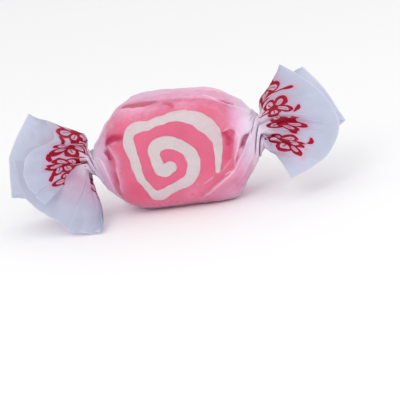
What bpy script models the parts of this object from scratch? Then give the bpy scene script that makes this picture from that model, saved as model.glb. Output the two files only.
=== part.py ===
"""A piece of salt water taffy: a pink pulled candy with a white swirl, twist-wrapped in waxed paper.

Run it with: blender --background --python part.py. It is in metres, +Z up. The wrapper's twisted
ends lie along X, the swirl faces -Y, and the origin is the middle of the flat spot underneath.
"""

import math
import random

import bmesh
import bpy
import numpy as np
from mathutils import Vector

MM = 0.001

# The candy is a pillow: a superellipse seen from the front, with softly rounded front and back.
CANDY_CENTRE = Vector((0.35, 0.0, 11.1)) * MM
CANDY_HALF_LENGTH = 13.45 * MM
CANDY_HALF_HEIGHT = 10.6 * MM
CANDY_HALF_DEPTH = 8.1 * MM
OUTLINE_SQUARENESS = 3.5
EDGE_SQUARENESS = 4.0
CANDY_FLOOR = 0.6 * MM
CANDY_SEGMENTS = 40
CANDY_RINGS = 18
CUTTER_HALF_DEPTH = 12.0 * MM
CAP_WELD = 0.001 * MM

# The swirl's centre line in X and Z and its width, in millimetres, from its inner end to its outer end.
SWIRL = [
    (-0.25, 9.55, 2.3), (-1.5, 9.0, 2.7), (-2.4, 9.7, 2.5), (-2.8, 11.4, 2.1), (-2.9, 12.9, 2.4),
    (-2.2, 14.1, 2.6), (-0.2, 14.5, 2.6), (2.0, 13.7, 2.5), (3.7, 12.3, 2.5), (4.4, 10.4, 2.6),
    (4.2, 8.7, 2.6), (3.4, 7.0, 2.4), (1.9, 6.0, 2.1), (0.2, 5.4, 2.0), (-1.6, 4.7, 2.0),
    (-3.6, 4.0, 2.2), (-4.6, 4.7, 1.8), (-5.6, 6.5, 1.5), (-6.5, 8.1, 1.7), (-6.9, 10.3, 1.8),
    (-7.0, 12.0, 1.8), (-7.4, 13.6, 2.1), (-7.6, 15.2, 2.3), (-7.4, 16.6, 2.1), (-6.5, 17.8, 2.2),
    (-4.9, 18.2, 1.9), (-3.3, 18.3, 1.7), (-1.6, 18.7, 1.5), (1.0, 19.2, 1.6), (3.0, 19.3, 2.0),
    (4.6, 18.9, 2.3), (6.2, 18.2, 2.8), (7.9, 16.8, 3.0), (9.1, 15.1, 2.9), (9.6, 13.5, 2.1),
    (9.5, 11.7, 1.6), (9.3, 10.0, 1.3), (8.8, 7.4, 1.0),
]
SWIRL_STEPS_PER_POINT = 2
ROUND_END_POINTS = 4
INNER_BEND_SLACK = 0.995  # a bend's inner side leaves out the points where it would fold over itself
FIT_GAP = 0.25 * MM

# The wrapper is one sheet of waxed paper, rolled round the candy with an overlap and twisted shut.
PAPER = 0.3 * MM
PAPER_FIT = 0.65 * MM
LEFT_NECK = Vector((-16.6, 0.0, 10.8)) * MM
RIGHT_NECK = Vector((18.0, 0.0, 12.0)) * MM
LEFT_NECK_RADIUS = 0.85 * MM
RIGHT_NECK_RADIUS = 1.05 * MM
WRAP_START = math.radians(-205)
WRAP_SPAN = math.radians(430)
LEFT_TWIST = math.radians(170)
RIGHT_TWIST = math.radians(145)
TWIST_LENGTH = 5.0 * MM
FLAP_LIFT = 0.55 * MM
FLAP_FADE = 0.1
PLEATS_PER_TURN = 8
PLEAT_WIDTHS = (0.6, 1.4)
PLEAT_LEAN = 1.3
PLEAT_CREST = 1.2
SHOULDER_PLEAT = 1.0 * MM
NECK_PLEAT = 1.5 * MM
FULL_PLEAT_LENGTH = 2.5 * MM
SHOULDER_LENGTH = 6.5 * MM
PUFF_LENGTH = 9.6 * MM
LEFT_PUFF = 0.6 * MM
RIGHT_PUFF = 0.8 * MM
CORNER_PUFF = 1.2 * MM
CORNER_ANGLE = math.radians(-70)
CORNER_SHARPNESS = 4

# Each fan's free edge, in millimetres: how far round the sheet, the point, and how steeply the
# paper flares there, from 0 for straight out of the neck to 1 for straight away from the axis.
LEFT_FAN = [
    (0.00, (-24.7, -13.5, 7.2), 0.3), (0.09, (-27.6, -13.0, 11.4), 0.2), (0.15, (-27.9, -12.0, 14.5), 0.3),
    (0.19, (-26.8, -11.0, 16.4), 0.4), (0.23, (-24.2, -9.2, 17.4), 0.7), (0.28, (-22.4, -5.4, 18.6), 1.0),
    (0.36, (-28.2, 1.6, 22.3), 1.0), (0.42, (-31.2, 1.2, 18.3), 0.4), (0.49, (-33.9, 0.6, 13.9), 0.1),
    (0.56, (-34.7, 0.0, 5.8), 0.2), (0.62, (-28.6, 2.2, 3.6), 0.6), (0.70, (-18.2, -2.0, 1.2), 1.0),
    (0.76, (-14.6, -15.4, 0.6), 1.3), (0.84, (-19.8, -14.9, 1.5), 1.0), (0.90, (-24.1, -12.8, 3.9), 0.7),
    (0.95, (-29.9, -8.6, 7.9), 0.3), (1.00, (-32.0, -3.4, 14.2), 0.1),
]
RIGHT_FAN = [
    (0.00, (23.0, -10.2, 4.3), 0.5), (0.07, (26.8, -9.2, 5.6), 0.4), (0.13, (30.1, -7.0, 6.9), 0.2),
    (0.18, (32.2, -4.8, 9.3), 0.1), (0.22, (33.2, -3.0, 11.4), 0.1), (0.27, (33.0, -1.5, 13.9), 0.2),
    (0.33, (30.8, 0.2, 18.0), 0.5), (0.38, (26.8, 2.4, 21.6), 0.7), (0.42, (23.5, 4.2, 23.4), 1.0),
    (0.45, (25.0, 5.6, 22.2), 0.9), (0.50, (27.4, 7.6, 22.2), 0.8), (0.58, (31.0, 6.7, 17.6), 0.4),
    (0.66, (34.4, 5.0, 10.7), 0.1), (0.71, (32.4, 4.8, 9.0), 0.15), (0.78, (29.8, 4.6, 5.8), 0.3),
    (0.90, (24.8, 1.8, 3.0), 0.7), (1.00, (22.6, -4.4, 3.2), 0.7),
]
FAN_LEAVE = 4.2 * MM
FAN_ARRIVE = 5.0 * MM

SHEET_COLUMNS = 68
LEFT_FAN_ROWS = 9
BODY_ROWS = 18
RIGHT_FAN_ROWS = 8
ROW_CROWDING = 0.08
TABLE_COLUMNS = 61
TABLE_TURNS = 73
HALVINGS = 40
SEED = 11

PINK = (0.78, 0.13, 0.22, 1.0)
WHITE = (0.90, 0.84, 0.78, 1.0)
CANDY_ROUGHNESS = 0.45
WAXED_PAPER = (0.72, 0.74, 0.84, 1.0)
PAPER_ROUGHNESS = 0.35


def clear_scene():
    for old in list(bpy.data.objects):
        bpy.data.objects.remove(old, do_unlink=True)


def new_collection(name):
    collection = bpy.data.collections.new(name)
    bpy.context.scene.collection.children.link(collection)
    return collection


def material(name, colour, roughness):
    made = bpy.data.materials.new(name)
    made.use_nodes = True
    shader = made.node_tree.nodes["Principled BSDF"]
    shader.inputs["Base Color"].default_value = colour
    shader.inputs["Roughness"].default_value = roughness
    return made


def add_object(name, mesh, collection, look):
    made = bpy.data.objects.new(name, mesh)
    mesh.materials.append(look)
    collection.objects.link(made)
    return made


def catmull_rom(before, start, end, after, t):
    """The point at t between start and end, on a smooth curve through all four."""
    return 0.5 * (
        2 * start
        + (end - before) * t
        + (2 * before - 5 * start + 4 * end - after) * t**2
        + (3 * start - before - 3 * end + after) * t**3
    )


def smoothstep(edge, full, value):
    t = min(max((value - edge) / (full - edge), 0.0), 1.0)
    return t * t * (3 - 2 * t)


# Candy
def candy_mesh():
    """A sphere, its poles turned to the front and back, squared off into a pillow."""
    bm = bmesh.new()
    bmesh.ops.create_uvsphere(bm, u_segments=CANDY_SEGMENTS, v_segments=CANDY_RINGS, radius=1.0)
    for vert in bm.verts:
        across, up, depth = vert.co.x, vert.co.y, -vert.co.z
        ring = math.hypot(across, up)
        spread = ring ** (2 / EDGE_SQUARENESS)
        if ring > 0:
            outline = abs(across / ring) ** OUTLINE_SQUARENESS + abs(up / ring) ** OUTLINE_SQUARENESS
            spread *= outline ** (-1 / OUTLINE_SQUARENESS) / ring
        y = math.copysign(abs(depth) ** (2 / EDGE_SQUARENESS), depth)
        place = CANDY_CENTRE + Vector((
            across * spread * CANDY_HALF_LENGTH,
            y * CANDY_HALF_DEPTH,
            up * spread * CANDY_HALF_HEIGHT,
        ))
        place.z = max(place.z, CANDY_FLOOR)
        vert.co = place
    bmesh.ops.recalc_face_normals(bm, faces=bm.faces)
    mesh = bpy.data.meshes.new("candy")
    bm.to_mesh(mesh)
    bm.free()
    return mesh


def swirl_line():
    """The swirl's centre line as close points: X and Z in metres, and the width."""
    points = [Vector(point) * MM for point in SWIRL]
    points = [2 * points[0] - points[1], *points, 2 * points[-1] - points[-2]]
    line = []
    for before, start, end, after in zip(points, points[1:], points[2:], points[3:]):
        for step in range(SWIRL_STEPS_PER_POINT):
            line.append(catmull_rom(before, start, end, after, step / SWIRL_STEPS_PER_POINT))
    line.append(points[-2])
    return line


def round_end(middle, out, radius):
    """Half a circle's points round an end of the swirl, from its left side to its right, seen along out."""
    left = Vector((-out.y, out.x))
    turns = [math.pi * (i + 1) / (ROUND_END_POINTS + 1) for i in range(ROUND_END_POINTS)]
    return [middle + (left * math.cos(turn) + out * math.sin(turn)) * radius for turn in turns]


def swirl_ribbon(name, extra):
    """The swirl as a slab right through the candy, this much wider than the white on each side."""
    line = swirl_line()
    sides = ([], [])
    for i, point in enumerate(line):
        along = (line[min(i + 1, len(line) - 1)] - line[max(i - 1, 0)]).xy.normalized()
        across = Vector((-along.y, along.x))
        half = point.z / 2 + extra
        for side, way in zip(sides, (1, -1)):
            corner = point.xy + across * half * way
            clear = min((corner - other.xy).length for other in line)
            if clear > half * INNER_BEND_SLACK:
                side.append(corner)
    inner_way = (line[0] - line[1]).xy.normalized()
    outer_way = (line[-1] - line[-2]).xy.normalized()
    outer_end = round_end(line[-1].xy, outer_way, line[-1].z / 2 + extra)
    inner_end = round_end(line[0].xy, inner_way, line[0].z / 2 + extra)
    outline = sides[0] + outer_end + sides[1][::-1] + inner_end
    curve = bpy.data.curves.new(name, "CURVE")
    curve.dimensions = "2D"
    curve.fill_mode = "BOTH"
    curve.extrude = CUTTER_HALF_DEPTH
    spline = curve.splines.new("POLY")
    spline.points.add(len(outline) - 1)
    for target, point in zip(spline.points, outline):
        target.co = (point.x, point.y, 0.0, 1.0)
    spline.use_cyclic_u = True
    drawn = bpy.data.objects.new(name, curve)
    drawn.rotation_euler = (math.radians(90), 0.0, 0.0)
    bpy.context.scene.collection.objects.link(drawn)
    bpy.context.view_layer.update()
    graph = bpy.context.evaluated_depsgraph_get()
    mesh = bpy.data.meshes.new_from_object(drawn.evaluated_get(graph))
    bm = bmesh.new()
    bm.from_mesh(mesh)
    bmesh.ops.remove_doubles(bm, verts=bm.verts, dist=CAP_WELD)
    bm.transform(drawn.matrix_world)
    bmesh.ops.recalc_face_normals(bm, faces=bm.faces)
    bm.to_mesh(mesh)
    bm.free()
    bpy.data.objects.remove(drawn, do_unlink=True)
    return mesh


def boolean(target, cutter, operation):
    cut = target.modifiers.new(cutter.name, "BOOLEAN")
    cut.operation = operation
    cut.solver = "EXACT"
    cut.object = cutter


def build_candy(parts, cutters):
    pink = add_object("taffy_pink", candy_mesh(), parts, material("taffy_pink", PINK, CANDY_ROUGHNESS))
    white = add_object("taffy_white", candy_mesh(), parts, material("taffy_white", WHITE, CANDY_ROUGHNESS))
    for taffy, operation, extra in ((pink, "DIFFERENCE", FIT_GAP), (white, "INTERSECT", 0.0)):
        name = taffy.name + "_swirl"
        cutter = bpy.data.objects.new(name, swirl_ribbon(name, extra))
        cutter.hide_render = True
        cutter.display_type = "WIRE"
        cutters.objects.link(cutter)
        boolean(taffy, cutter, operation)


# Wrapper
def candy_radius(x, angle, axis_z):
    """How far from the wrap axis the candy reaches at these places; arrays work too."""
    along = np.abs((x - CANDY_CENTRE.x) / CANDY_HALF_LENGTH) ** OUTLINE_SQUARENESS
    low = np.zeros(np.broadcast(x, angle).shape)
    high = low + 2 * CANDY_HALF_LENGTH
    for _ in range(HALVINGS):
        middle = (low + high) / 2
        up = np.abs((axis_z + middle * np.sin(angle) - CANDY_CENTRE.z) / CANDY_HALF_HEIGHT)
        face = (along + up**OUTLINE_SQUARENESS) ** (EDGE_SQUARENESS / OUTLINE_SQUARENESS)
        deep = np.abs(middle * np.cos(angle) / CANDY_HALF_DEPTH) ** EDGE_SQUARENESS
        inside = face + deep < 1
        low = np.where(inside, middle, low)
        high = np.where(inside, high, middle)
    return low


def axis_height(x):
    share = (x - LEFT_NECK.x) / (RIGHT_NECK.x - LEFT_NECK.x)
    return LEFT_NECK.z + share * (RIGHT_NECK.z - LEFT_NECK.z)


def taut(xs, radii):
    """The radii of a string pulled tight over these, from the first place to the last."""
    kept = []
    for point in zip(xs, radii):
        while len(kept) > 1:
            (x0, r0), (x1, r1) = kept[-2:]
            if (r1 - r0) * (point[0] - x0) > (point[1] - r0) * (x1 - x0):
                break
            kept.pop()
        kept.append(point)
    return np.interp(xs, [x for x, _ in kept], [r for _, r in kept])


class Sheet:
    """The wrapper's middle surface: a place for each row from end to end and share round it."""

    def __init__(self):
        self.xs = np.linspace(LEFT_NECK.x, RIGHT_NECK.x, TABLE_COLUMNS)
        self.angles = np.linspace(0.0, 2 * math.pi, TABLE_TURNS)
        table = []
        for angle in self.angles:
            reach = candy_radius(self.xs, angle, axis_height(self.xs)) + PAPER_FIT
            reach[0] = LEFT_NECK_RADIUS
            reach[-1] = RIGHT_NECK_RADIUS
            table.append(taut(self.xs, reach))
        self.table = np.array(table)
        draw = random.Random(SEED)
        widths = [draw.uniform(*PLEAT_WIDTHS) for _ in range(PLEATS_PER_TURN)]
        self.pleat_edges = np.concatenate([[0.0], np.cumsum(widths)]) / sum(widths)

    def taut_radius(self, x, angle):
        column = (angle % (2 * math.pi)) / (2 * math.pi) * (len(self.angles) - 1)
        low = int(column)
        high = min(low + 1, len(self.angles) - 1)
        first = np.interp(x, self.xs, self.table[low])
        second = np.interp(x, self.xs, self.table[high])
        return first + (second - first) * (column - low)

    def pleat(self, angle):
        """0 in the valleys between pleats and 1 on their crests."""
        turn = (angle / (2 * math.pi)) % 1.0
        i = int(np.searchsorted(self.pleat_edges, turn, side="right")) - 1
        i = min(i, PLEATS_PER_TURN - 1)
        local = (turn - self.pleat_edges[i]) / (self.pleat_edges[i + 1] - self.pleat_edges[i])
        return math.sin(math.pi * local**PLEAT_LEAN) ** PLEAT_CREST

    def lift(self, share):
        """The sheet's first stretch lies over its last one."""
        overlap = 1 - 2 * math.pi / WRAP_SPAN
        return FLAP_LIFT * (1 - smoothstep(overlap, overlap + FLAP_FADE, share))

    def body(self, x, share):
        start = WRAP_START + share * WRAP_SPAN
        from_left = x - LEFT_NECK.x
        from_right = RIGHT_NECK.x - x
        angle = start + LEFT_TWIST * (1 - smoothstep(0.0, TWIST_LENGTH, from_left))
        angle += RIGHT_TWIST * (1 - smoothstep(0.0, TWIST_LENGTH, from_right))
        near = min(from_left, from_right)
        depth = SHOULDER_PLEAT * smoothstep(SHOULDER_LENGTH, FULL_PLEAT_LENGTH, near)
        depth += (NECK_PLEAT - SHOULDER_PLEAT) * smoothstep(FULL_PLEAT_LENGTH, 0.0, near)
        if from_left < from_right:
            puff = LEFT_PUFF
        else:
            puff = RIGHT_PUFF + CORNER_PUFF * max(0.0, math.cos(angle - CORNER_ANGLE)) ** CORNER_SHARPNESS
        puff *= smoothstep(0.0, TWIST_LENGTH, near) * smoothstep(PUFF_LENGTH, TWIST_LENGTH, near)
        radius = self.taut_radius(x, angle) + puff + depth * self.pleat(start) + self.lift(share)
        return Vector((x, -radius * math.cos(angle), axis_height(x) + radius * math.sin(angle)))

    def fan(self, t, share, neck, edge, outward):
        """A curve from the neck's ring to the free edge; t is 0 at the neck and 1 at the edge."""
        ring = self.body(neck.x, share)
        away = Vector((0.0, ring.y - neck.y, ring.z - neck.z)).normalized()
        end, flare = edge_at(edge, share)
        leaving = (away * flare + Vector((outward, 0.0, 0.0)) * (1 - flare)).normalized()
        first = ring + leaving * FAN_LEAVE
        second = end - (end - neck).normalized() * FAN_ARRIVE
        rest = 1 - t
        return ring * rest**3 + first * 3 * rest**2 * t + second * 3 * rest * t**2 + end * t**3


def edge_at(edge, share):
    """The fan edge's point and flare at this share of the way round the sheet."""
    rows = [(s, Vector(place) * MM, flare) for s, place, flare in edge]
    i = max(k for k in range(len(rows) - 1) if rows[k][0] <= share)
    around = [rows[min(max(k, 0), len(rows) - 1)] for k in (i - 1, i, i + 1, i + 2)]
    t = (share - around[1][0]) / (around[2][0] - around[1][0])
    place = catmull_rom(*(row[1] for row in around), t)
    return place, around[1][2] + (around[2][2] - around[1][2]) * t


def build_wrapper(parts):
    """A flat grid, each vertex moved to its place on the rolled sheet, and made as thick as paper."""
    sheet = Sheet()
    rows = LEFT_FAN_ROWS + BODY_ROWS + RIGHT_FAN_ROWS
    bm = bmesh.new()
    bmesh.ops.create_grid(bm, x_segments=rows, y_segments=SHEET_COLUMNS, size=0.5)
    for vert in bm.verts:
        row = round((vert.co.x + 0.5) * rows)
        share = min(max(vert.co.y + 0.5, 0.0), 1.0)
        if row < LEFT_FAN_ROWS:
            place = sheet.fan(1 - row / LEFT_FAN_ROWS, share, LEFT_NECK, LEFT_FAN, -1.0)
        elif row > LEFT_FAN_ROWS + BODY_ROWS:
            t = (row - LEFT_FAN_ROWS - BODY_ROWS) / RIGHT_FAN_ROWS
            place = sheet.fan(t, share, RIGHT_NECK, RIGHT_FAN, 1.0)
        else:
            along = (row - LEFT_FAN_ROWS) / BODY_ROWS
            eased = along - ROW_CROWDING * math.sin(2 * math.pi * along)
            place = sheet.body(LEFT_NECK.x + eased * (RIGHT_NECK.x - LEFT_NECK.x), share)
        place.z = max(place.z, PAPER / 2)
        vert.co = place
    mesh = bpy.data.meshes.new("wrapper")
    bm.to_mesh(mesh)
    bm.free()
    wrapper = add_object("wrapper", mesh, parts, material("waxed_paper", WAXED_PAPER, PAPER_ROUGHNESS))
    mesh.shade_smooth()
    paper = wrapper.modifiers.new("paper", "SOLIDIFY")
    paper.thickness = PAPER
    paper.offset = 0.0


clear_scene()
taffy = new_collection("salt_water_taffy")
build_candy(taffy, new_collection("cutters"))
build_wrapper(taffy)
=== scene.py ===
import math

import bmesh
import bpy
import numpy as np
from mathutils import Matrix, Vector, noise
from mathutils.bvhtree import BVHTree


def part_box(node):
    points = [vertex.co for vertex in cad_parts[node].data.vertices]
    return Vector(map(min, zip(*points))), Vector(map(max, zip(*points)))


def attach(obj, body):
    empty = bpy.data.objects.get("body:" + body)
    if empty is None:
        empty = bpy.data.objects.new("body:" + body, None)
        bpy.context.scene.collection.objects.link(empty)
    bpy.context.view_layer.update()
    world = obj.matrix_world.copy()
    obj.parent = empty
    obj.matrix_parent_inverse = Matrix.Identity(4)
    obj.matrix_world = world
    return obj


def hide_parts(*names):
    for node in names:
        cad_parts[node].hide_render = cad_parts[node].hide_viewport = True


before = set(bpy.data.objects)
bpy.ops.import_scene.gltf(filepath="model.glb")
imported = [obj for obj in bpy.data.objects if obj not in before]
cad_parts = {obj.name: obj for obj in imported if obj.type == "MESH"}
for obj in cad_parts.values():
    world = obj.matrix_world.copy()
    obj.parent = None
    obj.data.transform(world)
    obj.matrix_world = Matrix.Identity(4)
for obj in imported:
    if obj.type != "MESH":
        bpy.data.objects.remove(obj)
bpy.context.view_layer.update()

# Pink taffy. Boiled sugar pulled until it is full of fine air, rolled up with a layer of the white and
# cut across, so that the swirl runs right through. Both cut faces are soft and slightly domed.

# Sizes are in millimetres, here and below.
MM = 0.001
CANDY_HALF_HEIGHT = 10.6
OUTLINE_SQUARENESS = 3.5
EDGE_SQUARENESS = 4.0
CANDY_FLOOR = 0.35
CANDY_SEGMENTS = 160
CANDY_RINGS = 80
candy_low, candy_high = (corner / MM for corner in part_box("taffy_pink"))
CANDY_HALF_LENGTH = (candy_high.x - candy_low.x) / 2
CANDY_HALF_DEPTH = (candy_high.y - candy_low.y) / 2
CANDY_MIDDLE = Vector((
    (candy_low.x + candy_high.x) / 2,
    (candy_low.y + candy_high.y) / 2,
    candy_high.z - CANDY_HALF_HEIGHT,
))

# The swirl's centre line in X and Z and its width, from its inner end to its outer end.
SWIRL = [
    (-0.25, 9.55, 2.3), (-1.5, 9.0, 2.7), (-2.4, 9.7, 2.5), (-2.8, 11.4, 2.1), (-2.9, 12.9, 2.4),
    (-2.2, 14.1, 2.6), (-0.2, 14.5, 2.6), (2.0, 13.7, 2.5), (3.7, 12.3, 2.5), (4.4, 10.4, 2.6),
    (4.2, 8.7, 2.6), (3.4, 7.0, 2.4), (1.9, 6.0, 2.1), (0.2, 5.4, 2.0), (-1.6, 4.7, 2.0),
    (-3.6, 4.0, 2.2), (-4.6, 4.7, 1.8), (-5.6, 6.5, 1.5), (-6.5, 8.1, 1.7), (-6.9, 10.3, 1.8),
    (-7.0, 12.0, 1.8), (-7.4, 13.6, 2.1), (-7.6, 15.2, 2.3), (-7.4, 16.6, 2.1), (-6.5, 17.8, 2.2),
    (-4.9, 18.2, 1.9), (-3.3, 18.3, 1.7), (-1.6, 18.7, 1.5), (1.0, 19.2, 1.6), (3.0, 19.3, 2.0),
    (4.6, 18.9, 2.3), (6.2, 18.2, 2.8), (7.9, 16.8, 3.0), (9.1, 15.1, 2.9), (9.6, 13.5, 2.1),
    (9.5, 11.7, 1.6), (9.3, 10.0, 1.3), (8.8, 7.4, 1.0),
]
SWIRL_STEPS_PER_POINT = 5
ROUND_END_POINTS = 9
INNER_BEND_SLACK = 0.995
PULLED_EDGE = (1.4, 0.2)
PULLED_PLANES = (3.0, 40.0)
SLAB_DEPTH = 1.5 * CANDY_HALF_DEPTH
WELD = 0.0001
SHARP_FROM = math.radians(35)
TAFFY_SEAM = 0.02


def put_in_scene(name, data):
    """A new object made of this mesh, curve, light or camera."""
    made = bpy.data.objects.new(name, data)
    bpy.context.scene.collection.objects.link(made)
    return made


def mesh_in_scene(name, bm):
    mesh = bpy.data.meshes.new(name)
    bm.to_mesh(mesh)
    bm.free()
    return put_in_scene(name, mesh)


def shaped_pillow(name):
    """A sphere, its poles turned to the front and back, squared off into a pillow."""
    bm = bmesh.new()
    bmesh.ops.create_uvsphere(bm, u_segments=CANDY_SEGMENTS, v_segments=CANDY_RINGS, radius=1.0)
    for vert in bm.verts:
        across, up, depth = vert.co.x, vert.co.y, -vert.co.z
        ring = math.hypot(across, up)
        spread = ring ** (2 / EDGE_SQUARENESS)
        if ring > 0:
            outline = abs(across / ring) ** OUTLINE_SQUARENESS + abs(up / ring) ** OUTLINE_SQUARENESS
            spread *= outline ** (-1 / OUTLINE_SQUARENESS) / ring
        place = CANDY_MIDDLE + Vector((
            across * spread * CANDY_HALF_LENGTH,
            math.copysign(abs(depth) ** (2 / EDGE_SQUARENESS), depth) * CANDY_HALF_DEPTH,
            up * spread * CANDY_HALF_HEIGHT,
        ))
        place.z = max(place.z, CANDY_FLOOR)
        vert.co = place * MM
    bmesh.ops.recalc_face_normals(bm, faces=bm.faces)
    return mesh_in_scene(name, bm)


def catmull_rom(before, start, end, after, t):
    """The point at t between start and end, on a smooth curve through all four."""
    return 0.5 * (
        2 * start
        + (end - before) * t
        + (2 * before - 5 * start + 4 * end - after) * t**2
        + (3 * start - before - 3 * end + after) * t**3
    )


def swirl_line():
    """The swirl's centre line as close points: X, Z and width."""
    points = [Vector(point) for point in SWIRL]
    points = [2 * points[0] - points[1], *points, 2 * points[-1] - points[-2]]
    line = []
    for around in zip(points, points[1:], points[2:], points[3:]):
        for step in range(SWIRL_STEPS_PER_POINT):
            line.append(catmull_rom(*around, step / SWIRL_STEPS_PER_POINT))
    line.append(points[-2])
    return line


def round_end(middle, out, radius):
    """Half a circle's points round an end of the swirl, from its left side to its right, seen along out."""
    left = Vector((-out.y, out.x))
    turns = [math.pi * (i + 1) / (ROUND_END_POINTS + 1) for i in range(ROUND_END_POINTS)]
    return [middle + (left * math.cos(turn) + out * math.sin(turn)) * radius for turn in turns]


def pulled(point):
    """Where pulling the soft sugar has moved a point of the swirl's outline: a little, and unevenly."""
    swell_size, swell = PULLED_EDGE
    return point + Vector([noise.noise(Vector((*point, at)) / swell_size) for at in PULLED_PLANES]) * swell


def swirl_slab(name, extra):
    """The swirl as a slab right through the candy, this much wider than the white on each side."""
    line = swirl_line()
    sides = ([], [])
    for i, point in enumerate(line):
        along = (line[min(i + 1, len(line) - 1)] - line[max(i - 1, 0)]).xy.normalized()
        across = Vector((-along.y, along.x))
        half = point.z / 2 + extra
        for side, way in zip(sides, (1, -1)):
            corner = point.xy + across * half * way
            clear = min((corner - other.xy).length for other in line)
            if clear > half * INNER_BEND_SLACK:
                side.append(corner)
    inner_way = (line[0] - line[1]).xy.normalized()
    outer_way = (line[-1] - line[-2]).xy.normalized()
    outer_end = round_end(line[-1].xy, outer_way, line[-1].z / 2 + extra)
    inner_end = round_end(line[0].xy, inner_way, line[0].z / 2 + extra)
    curve = bpy.data.curves.new(name, "CURVE")
    curve.dimensions = "2D"
    curve.fill_mode = "BOTH"
    curve.extrude = SLAB_DEPTH * MM
    spline = curve.splines.new("POLY")
    outline = [pulled(point) for point in sides[0] + outer_end + sides[1][::-1] + inner_end]
    spline.points.add(len(outline) - 1)
    for target, point in zip(spline.points, outline):
        target.co = (point.x * MM, point.y * MM, 0.0, 1.0)
    spline.use_cyclic_u = True
    drawn = put_in_scene(name, curve)
    drawn.rotation_euler = (math.radians(90), 0.0, 0.0)
    bpy.context.view_layer.update()
    graph = bpy.context.evaluated_depsgraph_get()
    mesh = bpy.data.meshes.new_from_object(drawn.evaluated_get(graph))
    bm = bmesh.new()
    bm.from_mesh(mesh)
    bmesh.ops.remove_doubles(bm, verts=bm.verts, dist=WELD * MM)
    bm.transform(drawn.matrix_world)
    bmesh.ops.recalc_face_normals(bm, faces=bm.faces)
    bm.to_mesh(mesh)
    bm.free()
    bpy.data.objects.remove(drawn, do_unlink=True)
    return put_in_scene(name, mesh)


def in_order(mesh):
    """The same mesh with its corners and faces in order of place, as a cut leaves them in any order."""
    corners = sorted((tuple(vert.co), vert.index) for vert in mesh.vertices)
    number = {old: new for new, (_, old) in enumerate(corners)}
    faces = []
    for face in mesh.polygons:
        ring = [number[corner] for corner in face.vertices]
        first = ring.index(min(ring))
        faces.append(ring[first:] + ring[:first])
    ordered = bpy.data.meshes.new(mesh.name)
    ordered.from_pydata([place for place, _ in corners], [], sorted(faces))
    bpy.data.meshes.remove(mesh)
    return ordered


def cut_taffy(taffy, operation, extra):
    """Cuts the swirl out of the pillow, or keeps only the swirl."""
    slab = swirl_slab(taffy.name + "_slab", extra)
    cut = taffy.modifiers.new("swirl", "BOOLEAN")
    cut.operation = operation
    cut.solver = "EXACT"
    cut.object = slab
    graph = bpy.context.evaluated_depsgraph_get()
    mesh = in_order(bpy.data.meshes.new_from_object(taffy.evaluated_get(graph)))
    taffy.modifiers.clear()
    taffy.data = mesh
    bpy.data.objects.remove(slab, do_unlink=True)
    mesh.shade_smooth()
    mesh.set_sharp_from_angle(angle=SHARP_FROM)


def add_node(look, kind, inputs=None, **settings):
    """A node of this kind in the material, its inputs set to values or linked to other nodes."""
    made = look.node_tree.nodes.new("ShaderNode" + kind)
    for name, value in settings.items():
        setattr(made, name, value)
    for name, value in (inputs or {}).items():
        if isinstance(value, bpy.types.NodeSocket):
            look.node_tree.links.new(value, made.inputs[name])
        else:
            made.inputs[name].default_value = value
    return made


STREAKED = 0.12
TAFFY_SHADES = (0.12, 0.36)


def taffy_look(name, colour, deep_colour):
    """Soft pulled sugar: fine pores on the cut faces, drawn out into streaks along the log."""
    look = bpy.data.materials.new(name)
    look.use_nodes = True
    shader = look.node_tree.nodes["Principled BSDF"]
    place = add_node(look, "TexCoord").outputs["Object"]
    streaks = add_node(look, "Mapping", {"Vector": place, "Scale": (1.0, STREAKED, 1.0)}).outputs[0]
    cloud = add_node(look, "TexNoise", {"Vector": streaks, "Scale": 260.0, "Detail": 3.0, "Roughness": 0.6})
    pores = add_node(look, "TexNoise", {"Vector": streaks, "Scale": 2600.0, "Detail": 2.0, "Roughness": 0.7})
    both = add_node(look, "Math", {0: cloud.outputs[0], 1: pores.outputs[0]}, operation="MULTIPLY")
    grain = both.outputs[0]
    shade = add_node(look, "ValToRGB", {0: grain})
    for mark, at, tone in zip(shade.color_ramp.elements, TAFFY_SHADES, (deep_colour, colour)):
        mark.position = at
        mark.color = (*tone, 1.0)
    bump = add_node(look, "Bump", {"Height": grain, "Strength": 0.35, "Distance": 0.0001})
    tree = look.node_tree
    tree.links.new(shade.outputs[0], shader.inputs["Base Color"])
    tree.links.new(bump.outputs[0], shader.inputs["Normal"])
    shader.inputs["Roughness"].default_value = 0.42
    shader.inputs["Subsurface Weight"].default_value = 0.25
    shader.inputs["Subsurface Radius"].default_value = (1.0, 0.45, 0.4)
    shader.inputs["Subsurface Scale"].default_value = 0.0008
    return look


PINK = (0.65, 0.040, 0.134)
DEEP_PINK = (0.55, 0.028, 0.104)
pink = shaped_pillow("pink_taffy")
candy_surface = BVHTree.FromObject(pink, bpy.context.evaluated_depsgraph_get())
cut_taffy(pink, "DIFFERENCE", TAFFY_SEAM)
pink.data.materials.clear()
pink.data.materials.append(taffy_look("pink_taffy", PINK, DEEP_PINK))
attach(pink, "root")
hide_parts("taffy_pink")

# White taffy. The same pulled sugar left uncoloured: a layer about two millimetres thick, rolled up
# with the pink, which it fills from the front face to the back one.

WHITE = (0.55, 0.62, 0.57)
DEEP_WHITE = (0.50, 0.55, 0.51)
white = shaped_pillow("white_taffy")
cut_taffy(white, "INTERSECT", 0.0)
white.data.materials.clear()
white.data.materials.append(taffy_look("white_taffy", WHITE, DEEP_WHITE))
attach(white, "root")
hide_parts("taffy_white")

# Wrapper. One sheet of waxed paper rolled round the candy with an overlap at the back, and both ends
# twisted shut and left to fan out. It clings where it is pressed on, and stands off in folds elsewhere.

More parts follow.
